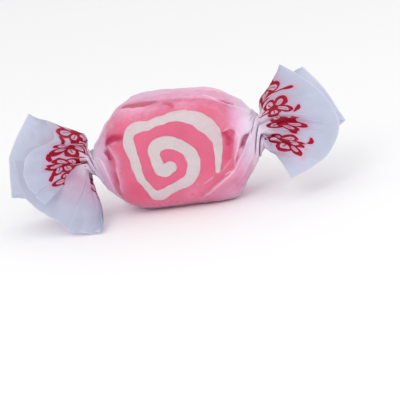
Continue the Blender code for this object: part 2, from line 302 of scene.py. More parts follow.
# The necks: their middles and radii. The left one is a short tube, gathered shut at its outer end.
LEFT_NECK = np.array((-16.6, 0.0, 10.8))
LEFT_GATHER = np.array((-17.9, 0.0, 10.75))
RIGHT_NECK = np.array((18.0, 0.0, 12.0))
LEFT_NECK_RADIUS = 2.15
RIGHT_NECK_RADIUS = 2.9

# The sheet's way round, and how far each end is twisted. Most of the twist is close to the neck, and
# this part of it is spread over the shoulder. The sheet clings this close, and its outer flap lies on it.
WRAP_START = math.radians(-205)
WRAP_SPAN = math.radians(430)
SHEET_WIDTH = 90.0
LEFT_TWIST = math.radians(170)
RIGHT_TWIST = math.radians(145)
TWIST_LENGTH = 2.1
SHOULDER_TWIST_LENGTH = 7.0
SHOULDER_TWIST_PART = 0.4
CLING = 0.06
FLAP_LIFT = 0.25
FLAP_FADE = 0.06
LOWEST = 0.02

# The sheet's mesh, with its columns closer together over the front and its rows near the necks.
LEFT_END_ROWS = 46
BODY_ROWS = 160
RIGHT_END_ROWS = 38
SHEET_COLUMNS = 404
FRONT_CROWDING = 0.6
ROW_CROWDING = 0.12

# The pleats: how many there are, how deep they are, and where they begin and are full, from the neck.
# The gathers shut the neck itself, and open again over this share of an end. They whiten the paper, as
# creased wax does, and add a painted highlight that lightens the shaded neck.
BROAD_PLEATS = 6
BROAD_DEPTH = 0.42
BROAD_LENGTH = (5.5, 1.5)
NARROW_PLEATS = 19
NARROW_DEPTH = 0.05
NARROW_LENGTH = (5.0, 0.5)
PLEAT_WIDTHS = (0.55, 1.45)
PLEAT_LEAN = 1.25
PLEAT_FULLNESS = 3
GATHER_PLEATS = 8
GATHER_FULLNESS = 9
GATHER_DEPTH = 0.88
GATHER_LENGTH = (2.2, 0.5)
GATHER_OPENS = 0.3
GATHER_WHITENED_AND_LIT = (4.0, 1.0, 0.66)
SEED = 11

# Each end's cut edge: how far round the sheet, the point, how steeply the paper flares there (0 straight
# out of the neck, 1 straight away from the axis, more back over the body), and 1 where the edge turns at
# a crease or corner.
LEFT_EDGE = [
    (0.00, (-24.7, -13.5, 7.2), 0.3, 1), (0.09, (-27.6, -13.0, 11.4), 0.2, 0),
    (0.15, (-27.9, -12.0, 14.5), 0.3, 0), (0.19, (-26.8, -11.0, 16.4), 0.4, 0),
    (0.23, (-24.2, -9.2, 17.4), 0.9, 0), (0.275, (-22.2, -6.0, 18.2), 1.5, 0),
    (0.31, (-23.7, -2.5, 19.9), 2.0, 0), (0.36, (-28.2, 1.6, 22.3), 1.9, 1),
    (0.42, (-31.2, 1.2, 18.3), 0.6, 0), (0.49, (-33.9, 0.6, 13.9), 0.1, 1),
    (0.56, (-34.9, 0.0, 5.8), 0.2, 1), (0.62, (-28.6, 2.2, 3.6), 0.6, 0),
    (0.70, (-18.2, -2.0, 1.2), 1.2, 0), (0.76, (-14.5, -15.4, 0.6), 2.1, 1),
    (0.84, (-19.8, -14.9, 1.3), 1.1, 0), (0.90, (-24.1, -12.8, 3.9), 0.7, 0),
    (0.95, (-29.9, -8.6, 7.9), 0.3, 0), (1.00, (-32.0, -3.4, 14.2), 0.1, 1),
]
RIGHT_EDGE = [
    (0.00, (23.0, -10.2, 4.3), 0.5, 1), (0.07, (26.8, -9.2, 5.6), 0.4, 0),
    (0.13, (30.1, -7.0, 6.9), 0.2, 0), (0.18, (32.2, -4.8, 9.3), 0.1, 0),
    (0.22, (33.2, -3.0, 11.4), 0.1, 0), (0.27, (33.0, -1.5, 13.9), 0.2, 0),
    (0.33, (30.8, 0.2, 18.0), 0.5, 0), (0.38, (26.8, 2.4, 21.6), 0.7, 0),
    (0.42, (23.5, 4.2, 23.8), 1.35, 1), (0.45, (25.8, 5.4, 21.8), 0.9, 1),
    (0.50, (27.4, 7.6, 22.2), 0.8, 1), (0.58, (31.0, 6.7, 17.6), 0.4, 0),
    (0.66, (34.4, 5.0, 10.7), 0.1, 1), (0.71, (32.4, 4.8, 9.0), 0.15, 0),
    (0.78, (29.8, 4.6, 5.8), 0.3, 0), (0.90, (24.8, 1.8, 3.0), 0.7, 0),
    (1.00, (22.6, -4.4, 3.2), 0.7, 1),
]
END_LEAVE = 4.2
END_ARRIVE = 5.0
END_FULLNESS = 1.8

# Where the paper is loose round the body: each swell runs through points (X, degrees round from the
# front, lift) and falls off softly over one width on the left of its way and another on its right.
SWELLS = [
    ([(-15.0, 90, 0.1), (-13.9, 88, 0.7), (-13.1, 88, 0.9), (-12.5, 87, 0.5), (-11.7, 87, 0.0)], 3.0, 3.0),
    ([(-10.7, 106, 0.0), (-9.1, 110, 0.15), (-8.3, 110, 0.6), (-7.5, 110, 1.0), (-5.2, 111, 1.05),
      (-1.0, 112, 0.95), (2.5, 113, 0.6), (6.1, 114, 0.15), (7.8, 115, 0.0), (11.0, 117, 0.25),
      (12.3, 117, 0.6), (14.3, 116, 1.0), (15.3, 115, 0.7), (17.0, 112, 0.1)], 6.0, 4.0),
    ([(17.6, -12, 0.2), (16.6, -40, 0.5), (15.0, -60, 0.9), (13.8, -70, 1.5), (12.4, -73, 2.1),
      (11.3, -73, 2.0), (9.0, -72, 1.1), (6.0, -72, 0.4)], 3.0, 3.2),
    ([(-16.2, -59, 0.4), (-15.2, -59, 1.0), (-14.3, -59, 1.3), (-12.5, -60, 0.5), (-11.0, -62, 0.0)],
     2.5, 2.5),
    ([(10.8, 54, 0.05), (12.0, 49, 0.14), (13.8, 45, 0.20)], 2.0, 2.0),
    ([(-12.4, 55, 0.3), (-10.5, 56, 0.2), (-9.0, 57, 0.05)], 1.3, 1.3),
    ([(0.5, 61, 0.1), (3.5, 60, 0.26), (6.5, 57, 0.14)], 1.1, 1.3),
    ([(-12.2, 8, 0.10), (-11.9, -8, 0.14), (-11.4, -24, 0.12), (-10.8, -40, 0.08)], 1.0, 1.0),
    ([(-5.0, -55, 0.06), (0.0, -52, 0.08), (4.0, -47, 0.10), (7.0, -40, 0.06)], 2.0, 1.6),
]

# The creases: points and lift as above, falling off sharply on both sides of a crest that is whitened so
# much, partly as creased wax whitens and partly as a painted highlight. Where the lift is below 0 it is a
# sharp valley, with painted shade in it so strong.
CREASES = [
    # along the top on the left, and the small one below it
    ([(-11.4, 99, 0.2), (-10.5, 92, 0.35), (-8.0, 70, 0.42), (-6.0, 64, 0.42), (-3.9, 63, 0.35),
      (-2.4, 65, 0.25), (-1.8, 70, 0.1)], 0.14, 1.3, 0.7),
    ([(-3.4, 56, 0.05), (-2.2, 57, 0.15), (-1.2, 59, 0.05)], 0.3, 0.3, 0.3),
    # along the top on the right
    ([(7.6, 72, 0.1), (9.2, 69, 0.15), (10.2, 65, 0.25), (11.5, 64, 0.3), (13.1, 69, 0.3),
      (13.9, 71, 0.3), (15.6, 80, 0.25), (16.9, 76, 0.15)], 0.6, 0.18, 0.8),
    # the right shoulder: the cone's fold over the dent, the ridge beside it and the long fold to the twist
    ([(13.9, 12, 0.35), (15.3, 17, 0.6), (16.7, 29, 0.5), (17.8, 45, 0.2)], 2.6, 0.16, 0.6),
    ([(10.9, 24, 0.03), (12.0, 28, 0.15), (13.2, 27, 0.25), (13.9, 12, 0.35)], 1.0, 0.14, 0.8),
    ([(13.9, 11, 0.4), (13.4, -2, 0.45), (13.0, -12, 0.4), (12.4, -23, 0.35), (12.0, -34, 0.2)],
     0.22, 0.28, 0.7),
    ([(17.6, 42, 0.3), (16.7, 28, 0.8), (15.9, 17, 1.0), (14.9, -4, 1.0), (13.7, -22, 0.85),
      (11.9, -36, 0.6), (9.6, -40, 0.5), (7.4, -45, 0.35), (5.3, -52, 0.1)], 2.0, 0.15, 0.5),
    ([(17.8, 0, 0.1), (16.8, -31, 0.3), (15.0, -46, 0.4), (13.1, -52, 0.3), (11.3, -51, 0.2),
      (9.0, -53, 0.1)], 0.4, 1.0, 0.15),
    ([(10.1, -36, 0.05), (10.8, -35, 0.2), (11.7, -36, 0.2)], 0.25, 0.25, 0.8),
    ([(5.7, -39, 0.03), (6.5, -37, 0.1), (7.7, -34, 0.08)], 0.25, 0.25, 0.6),
    ([(9.0, -33, 0.03), (10.2, -28, 0.12), (11.6, -22, 0.1)], 0.2, 0.3, 0.4),
    ([(17.5, 30, -0.2), (17.8, 8, -0.3), (17.7, -12, -0.4), (17.6, -32, -0.3)], 0.18, 0.15, 0.2),
    # the left shoulder: the ridge over the candy's corner and the creases to the twist
    ([(-12.2, 36, 0.1), (-12.0, 32, 0.3), (-11.4, 22, 0.4), (-10.9, 12, 0.4), (-10.9, 2, 0.35),
      (-11.0, -10, 0.3), (-11.0, -23, 0.25), (-11.0, -35, 0.2), (-10.6, -50, 0.1)], 0.6, 0.14, 0.5),
    ([(-15.4, 28, 0.2), (-14.5, 13, 0.4), (-13.9, -9, 0.5), (-13.3, -27, 0.5), (-12.8, -51, 0.3)],
     0.14, 1.6, 0.3),
    ([(-15.1, 20, -0.1), (-14.75, 13, -0.2), (-14.15, -9, -0.3), (-13.55, -27, -0.3), (-13.0, -51, -0.2)],
     0.12, 0.10, 0.3),
    ([(-16.0, 25, -0.1), (-15.5, 0, -0.25), (-15.0, -25, -0.3), (-14.3, -50, -0.2)], 0.12, 0.12, 0.22),
    ([(-16.9, 40, -0.05), (-16.6, 16, -0.2), (-16.7, -4, -0.2), (-16.5, -14, -0.1)], 0.12, 0.12, 0.3),
    ([(-12.0, 34, 0.1), (-10.4, 33, 0.22), (-8.9, 34.5, 0.05)], 0.2, 0.7, 0.2),
]

# The back's creases run from the twists over the shoulders, at uneven turns: how far apart they are and
# how far each may stray, its lift, its reach from the neck and how many degrees it bends. Its points are
# (share of the reach, of the bend, of the lift), but for millimetres at the start and a lift at the end.
BACK_TURNS = (100, 285)
BACK_STEP = 23
BACK_STRAY = 0.7
BACK_LIFT = (0.25, 0.6)
BACK_REACH = (5.5, 9.0)
BACK_BEND = 22.0
BACK_BENDS = (0.2, 1.0)
BACK_START = (1.0, -1.0, 0.6)
BACK_PATH = [(0.3, -0.3, 1.0), (0.65, 0.0, 0.8)]
BACK_END = (1.0, 0.2, 0.05)
BACK_WIDTHS = (0.18, 1.3)
BACK_WHITENED = 0.35

# Where a fingertip has pressed the paper on: points (X, degrees, what gap is left), half the width, how
# soft the rim is, and how damp and shaded the paper is: damp where pressed on, with painted shade in the
# pockets. The last two are only painted shade on the side turned away, without having been pressed.
PRESSED = [
    ([(-11.9, 40.5, 0.03), (-10.6, 39.5, 0.02), (-9.2, 37, 0.03)], 0.75, 0.6, 1.0),
    ([(-12.8, 28, 0.05), (-12.3, 19, 0.03), (-12.1, 13, 0.05)], 0.5, 0.6, 0.9),
    ([(-11.4, -13, 0.03), (-11.4, -21, 0.03), (-11.35, -31, 0.04)], 0.16, 0.5, 1.0),
    ([(-7.8, -33, 0.07), (-6.4, -38, 0.07)], 1.4, 0.6, 0.25),
    ([(11.2, 21, 0.03), (11.7, 16, 0.02), (11.9, 10, 0.02), (11.7, 4, 0.03)], 0.7, 0.8, 1.0),
    ([(12.4, 23, 0.03), (11.8, 10, 0.03), (11.5, -4, 0.05), (11.2, -18, 0.05)], 0.75, 0.8, 0.5),
    ([(-8.6, 84, 0.06), (-7.4, 79, 0.03), (-5.6, 74, 0.03), (-3.6, 70.5, 0.03), (-2.6, 69, 0.05)],
     1.0, 0.8, 0.45),
    ([(11.5, 68, 0.05), (12.8, 74, 0.05)], 0.35, 0.5, 0.6),
    ([(0.4, 65, 0.04), (1.4, 62, 0.03), (1.8, 58, 0.05)], 0.35, 0.7, 0.4),
    ([(15.0, 12, 0.3), (14.6, 5, 0.3), (14.3, -3, 0.3), (14.0, -8, 0.3)], 0.45, 0.6, 0.6),
    ([(12.6, -26, 0.1), (11.4, -33, 0.08), (9.6, -38, 0.06)], 0.5, 0.6, 0.0),
    ([(-15.0, 60, 0.5), (-13.4, 62, 0.3)], 0.5, 0.6, 0.0),
    ([(17.0, -50, 9.0), (14.6, -62, 9.0), (11.6, -64, 9.0), (9.2, -52, 9.0), (7.0, -66, 9.0)],
     2.8, 0.7, 0.36),
    ([(14.4, -8, 9.0), (13.6, -22, 9.0), (11.5, -34, 9.0)], 1.6, 0.7, 0.13),
]
DEEPEST_PRESS = 0.9
MM_PER_DEGREE = 0.175
CREASE_WIDTH = 0.13
CREASE_FADE = (0.7, 1.9)

# Where the top band, which the paper's own weight keeps off the candy, begins: X and degrees.
TOP_EDGE = [
    (-14.0, 100), (-10.5, 96), (-8.2, 87), (-4.8, 79), (-2.7, 75), (-0.2, 72), (2.3, 70), (5.3, 66),
    (8.2, 64), (9.9, 63), (11.5, 66), (13.1, 72), (13.9, 73), (15.6, 82), (18.0, 88),
]
TOP_LIFT = 0.35
TOP_RISE = 5.0
TOP_END = (178, 120)
SWELLS_END = (152.0, 122.0)

# How the paper stands off elsewhere: under the candy, over the rim of its face and, unevenly, round the
# back. The folds wobble too, by noise that is read at one place for X and at another for degrees.
UNDERSIDE_LIFT = 0.4
UNDERSIDE_START = (-60.0, -85.0)
UNDERSIDE_END = (-178, -120)
FACE_BOW = 0.13
FACE_RIM = (0.66, 1.0)
FACE_REACH = (13.0, 10.0)
ROUGH_BODY = (4.5, 0.35)
ROUGH_START = (70, 100)
ROUGH_NEAR = (1.0, 4.0)
WOBBLE = (2.2, 0.22)
OTHER_NOISE = 57.0
TIGHT_COLUMNS = 141
TIGHT_TURNS = 241
RADIUS_HALVINGS = 30


def smoothstep(edge, full, value):
    t = np.clip((value - edge) / (full - edge), 0.0, 1.0)
    return t * t * (3 - 2 * t)


def candy_radius(x, angle, axis_z):
    """How far from the wrap axis the candy reaches at these places."""
    along = np.abs((x - CANDY_MIDDLE.x) / CANDY_HALF_LENGTH) ** OUTLINE_SQUARENESS
    low = np.zeros(np.broadcast(x, angle).shape)
    high = low + 2 * CANDY_HALF_LENGTH
    for _ in range(RADIUS_HALVINGS):
        middle = (low + high) / 2
        up = np.abs((axis_z + middle * np.sin(angle) - CANDY_MIDDLE.z) / CANDY_HALF_HEIGHT)
        face = (along + up**OUTLINE_SQUARENESS) ** (EDGE_SQUARENESS / OUTLINE_SQUARENESS)
        deep = np.abs(middle * np.cos(angle) / CANDY_HALF_DEPTH) ** EDGE_SQUARENESS
        inside = face + deep < 1
        low = np.where(inside, middle, low)
        high = np.where(inside, high, middle)
    return low


def axis_height(x):
    share = (x - LEFT_NECK[0]) / (RIGHT_NECK[0] - LEFT_NECK[0])
    return LEFT_NECK[2] + share * (RIGHT_NECK[2] - LEFT_NECK[2])


def pulled_tight(xs, radii):
    """The radii of a string pulled tight over these, from the first place to the last."""
    kept = []
    for point in zip(xs, radii):
        while len(kept) > 1:
            (x0, r0), (x1, r1) = kept[-2:]
            if (r1 - r0) * (point[0] - x0) > (point[1] - r0) * (x1 - x0):
                break
            kept.pop()
        kept.append(point)
    return np.interp(xs, [x for x, _ in kept], [r for _, r in kept])


def tight_radius(x, angle):
    """The radius of paper pulled tight over the candy between the necks."""
    xs = np.linspace(LEFT_NECK[0], RIGHT_NECK[0], TIGHT_COLUMNS)
    turns = np.linspace(0.0, 2 * math.pi, TIGHT_TURNS)
    table = []
    for turn in turns:
        reach = candy_radius(xs, turn, axis_height(xs)) + CLING
        reach[0] = LEFT_NECK_RADIUS
        reach[-1] = RIGHT_NECK_RADIUS
        table.append(pulled_tight(xs, reach))
    table = np.array(table)
    row = (angle % (2 * math.pi)) / (2 * math.pi) * (len(turns) - 1)
    column = np.maximum(x - xs[0], 0.0) / (xs[-1] - xs[0]) * (len(xs) - 1)
    low_row = np.minimum(row.astype(int), len(turns) - 2)
    low_column = np.minimum(column.astype(int), len(xs) - 2)
    down = row - low_row
    right = column - low_column
    first = table[low_row, low_column] * (1 - right) + table[low_row, low_column + 1] * right
    second = table[low_row + 1, low_column] * (1 - right) + table[low_row + 1, low_column + 1] * right
    return first * (1 - down) + second * down


def pleats(share, count, seed, fullness=PLEAT_FULLNESS):
    """0 in the valleys between pleats of uneven width and 1 on their crests, which all lean one way."""
    widths = np.random.default_rng(seed).uniform(*PLEAT_WIDTHS, count)
    edges = np.concatenate([[0.0], np.cumsum(widths)]) / widths.sum()
    turn = (share * WRAP_SPAN / (2 * math.pi)) % 1.0
    i = np.clip(np.searchsorted(edges, turn, side="right") - 1, 0, count - 1)
    local = (turn - edges[i]) / (edges[i + 1] - edges[i])
    return 1 - np.abs(2 * local**PLEAT_LEAN - 1) ** fullness


def uneven(points, size):
    """Smooth noise through space, between about -1 and 1, with swells this far apart."""
    flat = points.reshape(-1, 3) / size
    return np.array([noise.noise(Vector(place)) for place in flat]).reshape(points.shape[:2])


def nearest_on(across, up, stretch, up_scale):
    """How far places are from a stretch's line, which side they are on and the third value there.

    The side is 1 on the left and -1 on the right, and turns from one to the other past an end.
    """
    nearest = np.full(across.shape, np.inf)
    side = np.zeros(across.shape)
    value = np.zeros(across.shape)
    last = len(stretch) - 2
    for i, ((x0, u0, v0), (x1, u1, v1)) in enumerate(zip(stretch, stretch[1:])):
        run = np.array((x1 - x0, (u1 - u0) * up_scale))
        off_x = across - x0
        off_u = (up - u0) * up_scale
        reached = (off_x * run[0] + off_u * run[1]) / (run @ run)
        along = np.clip(reached, 0.0, 1.0)
        off_x = off_x - along * run[0]
        off_u = off_u - along * run[1]
        away = np.maximum(np.hypot(off_x, off_u), 1e-6)
        leftward = (run[0] * off_u - run[1] * off_x) / np.hypot(*run)
        past_end = (i == 0) * (reached < 0) + (i == last) * (reached > 1)
        closer = away < nearest
        nearest = np.where(closer, away, nearest)
        side = np.where(closer, np.where(past_end, leftward / away, np.where(leftward < 0, -1.0, 1.0)), side)
        value = np.where(closer, v0 + (v1 - v0) * along, value)
    return nearest, side, value


def between(side, left_width, right_width):
    """The width that a fold has on this side."""
    return right_width + (left_width - right_width) * (1 + side) / 2


def twist_share(near):
    """How much of the twist is left this far from a neck: most is close to it, the rest over the shoulder."""
    close = smoothstep(TWIST_LENGTH, 0.0, near)
    shoulder = smoothstep(SHOULDER_TWIST_LENGTH, 0.0, near)
    return close + SHOULDER_TWIST_PART * (shoulder - close)


def back_creases():
    """Creases from both twists over the back's shoulders, at uneven turns."""
    draw = np.random.default_rng(SEED + 3)
    start_out, start_bend, start_lift = BACK_START
    end_share, end_bend, end_lift = BACK_END
    creases_and_lit = []
    for neck_x, inward in ((LEFT_NECK[0], 1.0), (RIGHT_NECK[0], -1.0)):
        for turn in np.arange(*BACK_TURNS, BACK_STEP):
            turn += draw.uniform(0.0, BACK_STRAY * BACK_STEP)
            lift = draw.uniform(*BACK_LIFT)
            reach = draw.uniform(*BACK_REACH)
            bend = inward * BACK_BEND * draw.uniform(*BACK_BENDS)
            path = [(neck_x + inward * start_out, turn + start_bend * bend, start_lift * lift)]
            for share, bent, lifted in BACK_PATH:
                path.append((neck_x + inward * share * reach, turn + bent * bend, lifted * lift))
            path.append((neck_x + inward * end_share * reach, turn + end_bend * bend, end_lift))
            creases_and_lit.append((path, *draw.permutation(BACK_WIDTHS), BACK_WHITENED))
    return creases_and_lit


def body_rows(x, share):
    """The sheet's rows round the candy: places, how far the twist shuts them, how creased and lit, how damp
    and shaded.
    """
    start = WRAP_START + share * WRAP_SPAN
    from_left = x - LEFT_GATHER[0]
    from_right = RIGHT_NECK[0] - x
    angle = start + LEFT_TWIST * twist_share(from_left) + RIGHT_TWIST * twist_share(from_right)
    x = x + 0 * share
    near = np.minimum(from_left, from_right) + 0 * share
    tight = tight_radius(x, angle)
    axis_z = axis_height(x)
    candy = candy_radius(x, angle, axis_z)
    degrees = (np.degrees(angle) + 180) % 360 - 180
    places = np.stack([x, -tight * np.cos(angle), tight * np.sin(angle)], -1)
    wobble_size, wobble = WOBBLE
    folded_x = x + wobble * uneven(places, wobble_size)
    folded_degrees = degrees + wobble * uneven(places + OTHER_NOISE, wobble_size) / MM_PER_DEGREE

    broad = BROAD_DEPTH * smoothstep(*BROAD_LENGTH, near)
    narrow = NARROW_DEPTH * smoothstep(*NARROW_LENGTH, near)
    sink = broad * (1 - pleats(share, BROAD_PLEATS, SEED))
    sink += narrow * (1 - pleats(share, NARROW_PLEATS, SEED + 1))
    top_edge = np.interp(folded_x, [place for place, _ in TOP_EDGE], [turn for _, turn in TOP_EDGE])
    loose = TOP_LIFT * smoothstep(0.0, TOP_RISE, folded_degrees - top_edge) * smoothstep(*TOP_END, degrees)
    loose += UNDERSIDE_LIFT * smoothstep(*UNDERSIDE_START, degrees) * smoothstep(*UNDERSIDE_END, degrees)
    rim = np.hypot(np.abs(x / FACE_REACH[0]) ** 2, np.abs(places[..., 2] / FACE_REACH[1]) ** 2)
    loose += FACE_BOW * smoothstep(*FACE_RIM, rim)
    swell = np.zeros_like(loose)
    for stretch, left_width, right_width in SWELLS:
        away, side, height = nearest_on(folded_x, folded_degrees, stretch, MM_PER_DEGREE)
        width = between(side, left_width, right_width)
        swell = np.maximum(swell, height * np.exp(-((away / width) ** 2)))
    swell *= smoothstep(*SWELLS_END, np.abs(degrees))
    rough_size, rough = ROUGH_BODY
    hidden = smoothstep(*ROUGH_START, np.abs(degrees)) * smoothstep(*ROUGH_NEAR, near)
    loose = np.maximum(loose, swell) + rough * hidden * np.abs(uneven(places, rough_size))
    overlap = 1 - 2 * math.pi / WRAP_SPAN
    flap = FLAP_LIFT * smoothstep(overlap + FLAP_FADE, overlap, share)
    radius = np.maximum(tight - sink + loose, candy + CLING) + flap
    damp_and_shade = np.zeros_like(radius)
    # Damp where pressed on, and painted shade where a pocket or the turned-away side is in shadow.
    for stretch, half_width, softness, damp_and_shade_strength in PRESSED:
        away, _, left = nearest_on(folded_x, folded_degrees, stretch, MM_PER_DEGREE)
        pressed = smoothstep(1 + softness, 1 - softness, away / half_width)
        radius += (np.clip(candy + left, radius - DEEPEST_PRESS, radius) - radius) * pressed
        damp_and_shade = np.maximum(damp_and_shade, damp_and_shade_strength * pressed)
    ridge = np.zeros_like(radius)
    valley = np.zeros_like(radius)
    crease_and_lit = np.zeros_like(radius)
    for stretch, left_width, right_width, shown in CREASES + back_creases():
        turns = folded_degrees % 360 if stretch[0][1] > BACK_TURNS[0] else folded_degrees
        away, side, height = nearest_on(folded_x, turns, stretch, MM_PER_DEGREE)
        fold = height * np.exp(-away / between(side, left_width, right_width))
        line = shown * np.exp(-((away / CREASE_WIDTH) ** 2))
        # A valley's line is painted shade, carried with the damp.
        if stretch[0][2] < 0:
            valley = np.minimum(valley, fold)
            damp_and_shade = np.maximum(damp_and_shade, line)
        else:
            ridge = np.maximum(ridge, fold)
            crease_and_lit = np.maximum(crease_and_lit, line)
    radius += (ridge + valley) * smoothstep(*CREASE_FADE, near)
    shut = GATHER_DEPTH * smoothstep(*GATHER_LENGTH, near)
    shut *= 1 - pleats(share, GATHER_PLEATS, SEED + 2, GATHER_FULLNESS)
    radius *= 1 - shut
    # The gather's whitening is partly creased wax and partly a painted highlight on the shaded neck.
    white_start, white_full, whitened_and_lit = GATHER_WHITENED_AND_LIT
    crease_and_lit = np.maximum(crease_and_lit, whitened_and_lit * smoothstep(white_start, white_full, near))
    y = -radius * np.cos(angle)
    z = np.maximum(axis_z + radius * np.sin(angle), LOWEST)
    return np.stack([x, y, z], -1), shut, crease_and_lit, damp_and_shade


def cut_edge(edge, share):
    """The cut edge's point and flare at each share of the way round the sheet."""
    shares = np.array([row[0] for row in edge])
    points = np.array([row[1] for row in edge])
    flares = np.array([row[2] for row in edge])
    corners = [row[3] for row in edge]
    i = np.clip(np.searchsorted(shares, share, side="right") - 1, 0, len(edge) - 2)
    t = ((share - shares[i]) / (shares[i + 1] - shares[i]))[..., None]
    steps = np.diff(points, axis=0)
    leaving, arriving = [], []
    for k in range(len(edge)):
        before = steps[max(k - 1, 0)]
        after = steps[min(k, len(steps) - 1)]
        leaving.append(after if corners[k] else (before + after) / 2)
        arriving.append(before if corners[k] else (before + after) / 2)
    leaving, arriving = np.array(leaving), np.array(arriving)
    place = (
        (2 * t**3 - 3 * t**2 + 1) * points[i]
        + (t**3 - 2 * t**2 + t) * leaving[i]
        + (3 * t**2 - 2 * t**3) * points[i + 1]
        + (t**3 - t**2) * arriving[i + 1]
    )
    return place, (flares[i] + (flares[i + 1] - flares[i]) * t[..., 0])[..., None]


def end_rows(ring, shut, neck, edge, outward, t, share):
    """A twisted end's rows: each column is a curve from the neck's shut ring to the cut edge."""
    opened = neck + (ring - neck) / (1 - shut)[:, None]
    away = opened - neck
    away[:, 0] = 0.0
    away /= np.linalg.norm(away, axis=1, keepdims=True)
    end, flare = cut_edge(edge, share)
    leaving = away * flare + np.array((outward, 0.0, 0.0)) * (1 - flare)
    leaving /= np.linalg.norm(leaving, axis=1, keepdims=True)
    first = opened + leaving * END_LEAVE
    back = end - neck
    second = end - back / np.linalg.norm(back, axis=1, keepdims=True) * END_ARRIVE
    second[:, 0] -= outward * END_FULLNESS * np.maximum(flare[:, 0] - 1, 0.0)
    t = t[:, None, None]
    rest = 1 - t
    curve = opened * rest**3 + first * 3 * rest**2 * t + second * 3 * rest * t**2 + end * t**3
    return curve + (ring - opened) * smoothstep(GATHER_OPENS, 0.0, t)


def column_shares():
    """Where the columns are round the sheet: closer over the front, with one at each crease or corner."""
    even = np.linspace(0.0, 1.0, 4 * SHEET_COLUMNS + 1)
    crowd = 1 + FRONT_CROWDING * (np.cos(WRAP_START + even * WRAP_SPAN) > 0)
    column = np.concatenate([[0.0], np.cumsum((crowd[1:] + crowd[:-1]) / 2)])
    column *= SHEET_COLUMNS / column[-1]
    corners = sorted({row[0] for edge in (LEFT_EDGE, RIGHT_EDGE) for row in edge if row[3]})
    wanted = np.interp(corners, even, column)
    moved = np.interp(np.arange(SHEET_COLUMNS + 1), np.round(wanted), wanted)
    return np.interp(moved, column, even)


def sheet_normals(points):
    along = np.gradient(points, axis=0)
    around = np.gradient(points, axis=1)
    normals = np.cross(along, around)
    return normals / np.maximum(np.linalg.norm(normals, axis=2, keepdims=True), 1e-9)


share = column_shares()
steps = np.linspace(0.0, 1.0, BODY_ROWS + 1)
steps -= ROW_CROWDING * np.sin(2 * math.pi * steps)
body_x = LEFT_GATHER[0] + steps * (RIGHT_NECK[0] - LEFT_GATHER[0])
body, shut, body_crease_and_lit, body_damp_and_shade = body_rows(body_x[:, None], share[None, :])
left_t = np.linspace(0.0, 1.0, LEFT_END_ROWS + 1)[1:]
right_t = np.linspace(0.0, 1.0, RIGHT_END_ROWS + 1)[1:]
left_end = end_rows(body[0], shut[0], LEFT_GATHER, LEFT_EDGE, -1.0, left_t, share)
right_end = end_rows(body[-1], shut[-1], RIGHT_NECK, RIGHT_EDGE, 1.0, right_t, share)

# The creases across the ends, with points (millimetres out from the neck, share round the sheet, lift).
LEFT_END_FOLDS = [
    ([(1.5, 0.330, -0.3), (4.5, 0.330, -1.0), (8.5, 0.335, -1.0), (13.0, 0.345, -0.1)], 2.4, 2.8, 0.0),
    ([(2.0, 0.32, 0.3), (7.0, 0.27, 0.5), (12.0, 0.21, 0.5), (15.0, 0.17, 0.1)], 0.3, 2.2, 0.1),
    ([(3.0, 0.10, 0.3), (9.0, 0.12, 0.45), (15.0, 0.11, 0.1)], 2.0, 0.4, 0.1),
    ([(5.0, 0.05, 0.2), (10.0, 0.045, 0.5), (16.0, 0.02, 0.2)], 0.4, 1.6, 0.12),
    ([(2.0, 0.36, 0.3), (8.0, 0.41, 0.4), (15.0, 0.45, 0.1)], 0.4, 2.5, 0.1),
    ([(1.0, 0.78, 0.4), (6.0, 0.79, 0.5), (14.0, 0.80, 0.1)], 2.0, 0.5, 0.1),
    ([(1.0, 0.84, 0.3), (7.0, 0.86, 0.5), (14.0, 0.87, 0.1)], 0.4, 2.0, 0.1),
    ([(1.0, 0.70, 0.4), (6.0, 0.71, 0.4), (12.0, 0.69, 0.1)], 0.5, 1.6, 0.1),
]
RIGHT_END_FOLDS = [
    ([(1.0, 0.20, 0.5), (5.0, 0.235, 1.6), (11.0, 0.25, 1.3), (16.0, 0.235, 0.2)], 2.2, 0.35, 0.14),
    ([(1.0, 0.30, 0.4), (4.0, 0.30, 0.5), (8.0, 0.29, 0.3), (12.0, 0.28, 0.1)], 0.4, 1.6, 0.12),
    ([(2.0, 0.17, 0.4), (7.0, 0.185, 0.9), (14.0, 0.20, 0.2)], 0.3, 1.4, 0.14),
    ([(0.5, 0.05, 0.3), (6.0, 0.08, 0.5), (14.0, 0.10, 0.1)], 0.4, 1.8, 0.1),
    ([(1.0, 0.115, 0.7), (5.0, 0.125, 0.9), (10.0, 0.13, 0.2)], 0.4, 1.3, 0.15),
    ([(0.5, 0.44, 0.4), (5.0, 0.45, 0.4), (12.0, 0.46, 0.1)], 1.5, 0.4, 0.1),
]
ROUGH_CREASE = (7.0, 0.9)
FINE_CREASE = (2.4, 0.34)
FINE_NOISE = 31.0
CREASES_FULL = 0.5
FOLDS_FULL = 0.06
END_PLEAT_DEPTHS = (0.35, 0.3 * 0.35)
END_PLEATS_FULL = 0.12
END_PLEATS_FADE = 1.5
CUT_EDGE = (0.18, 0.28)


